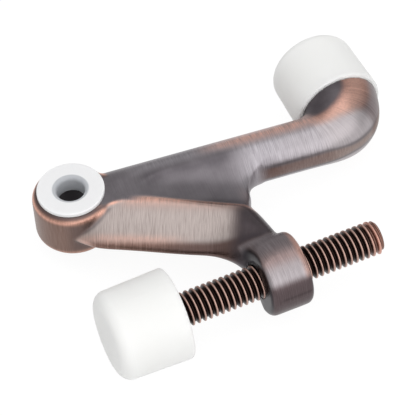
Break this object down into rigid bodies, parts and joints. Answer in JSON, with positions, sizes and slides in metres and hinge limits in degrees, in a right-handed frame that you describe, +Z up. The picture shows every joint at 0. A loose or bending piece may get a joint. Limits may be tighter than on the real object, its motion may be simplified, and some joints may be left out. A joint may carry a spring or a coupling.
{
  "type": "hinge pin door stop",
  "caption": "Door stop that hangs on a hinge pin by its eye: a bent cast arm with a white tip on its end and a threaded rod with a white tip that sets how far the door opens.",
  "frame": {"origin": "on the hinge pin's axis, in the eye's top face where the bushing's flange seats", "axes": "+Z up along the hinge pin, +X along the threaded rod towards the arm's bent end, +Y the way the arm's tip points"},
  "size_m": [0.0865, 0.0652, 0.021],
  "materials": {
    "antique_copper": "dark brushed antique copper plating, worn to copper on the ridges",
    "white_nylon": "smooth moulded",
    "dark_copper_steel": "dark antique copper plating, worn on the thread's crests",
    "white_rubber": "smooth moulded"
  },
  "bodies": {
    "stop_body": {"arm_casting": "antique_copper", "pin_bushing": "white_nylon", "arm_bumper": "white_rubber"},
    "rod_tip": {"screw_bumper": "white_rubber"},
    "rod": {"adjusting_screw": "dark_copper_steel"}
  },
  "joints": [
    {"name": "rod_advance", "type": "slide", "parent": "stop_body", "child": "rod_tip", "axis": [1, 0, 0], "range_m": [-0.018, 0.015]},
    {"name": "rod_turn", "type": "hinge", "parent": "rod_tip", "child": "rod", "pos_m": [0, -0.0375, -0.006], "axis": [1, 0, 0], "range_deg": [-4600, 3840]}
  ],
  "couplings": [
    {"joint": "rod_turn", "follows": "rod_advance", "rad_per_m": 4452.7}
  ]
}
